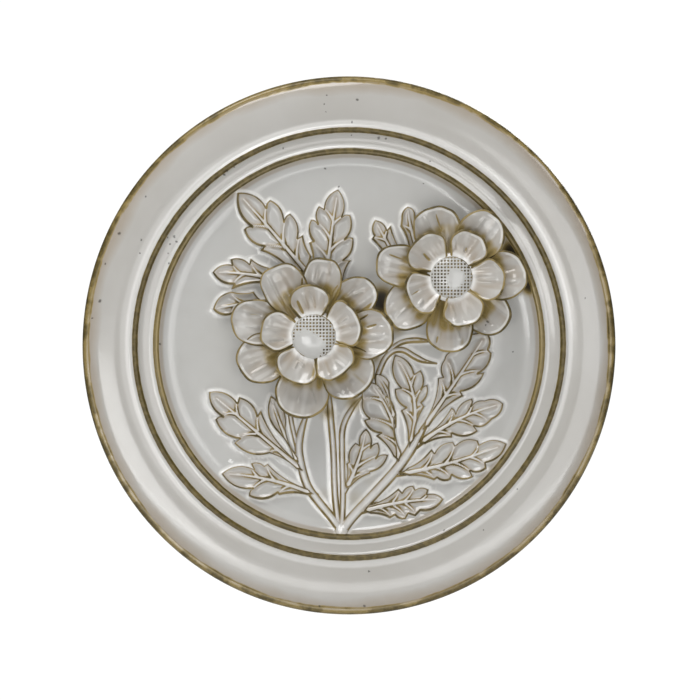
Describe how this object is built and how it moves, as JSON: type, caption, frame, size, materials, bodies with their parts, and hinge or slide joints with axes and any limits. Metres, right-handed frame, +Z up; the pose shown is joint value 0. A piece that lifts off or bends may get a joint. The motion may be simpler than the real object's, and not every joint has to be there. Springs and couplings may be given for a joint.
{
  "type": "wall plaque",
  "caption": "Round glazed stoneware wall plaque: a ringed rim round a flat field, low relief leaf sprays and raised cupped-petal flowers, hung flat by a pocket in its back.",
  "frame": {"origin": "centre of the flat back that lies on the wall", "axes": "+Z up as hung, +X to the viewer's right, +Y into the wall, so the front faces -Y"},
  "size_m": [0.2986, 0.0369, 0.3014],
  "materials": {
    "glaze": "glossy grey-white reactive glaze over stoneware, breaking to olive brown on crisp edges and pooling white beside them"
  },
  "bodies": {
    "root": {"plaque": "glaze"}
  },
  "joints": []
}
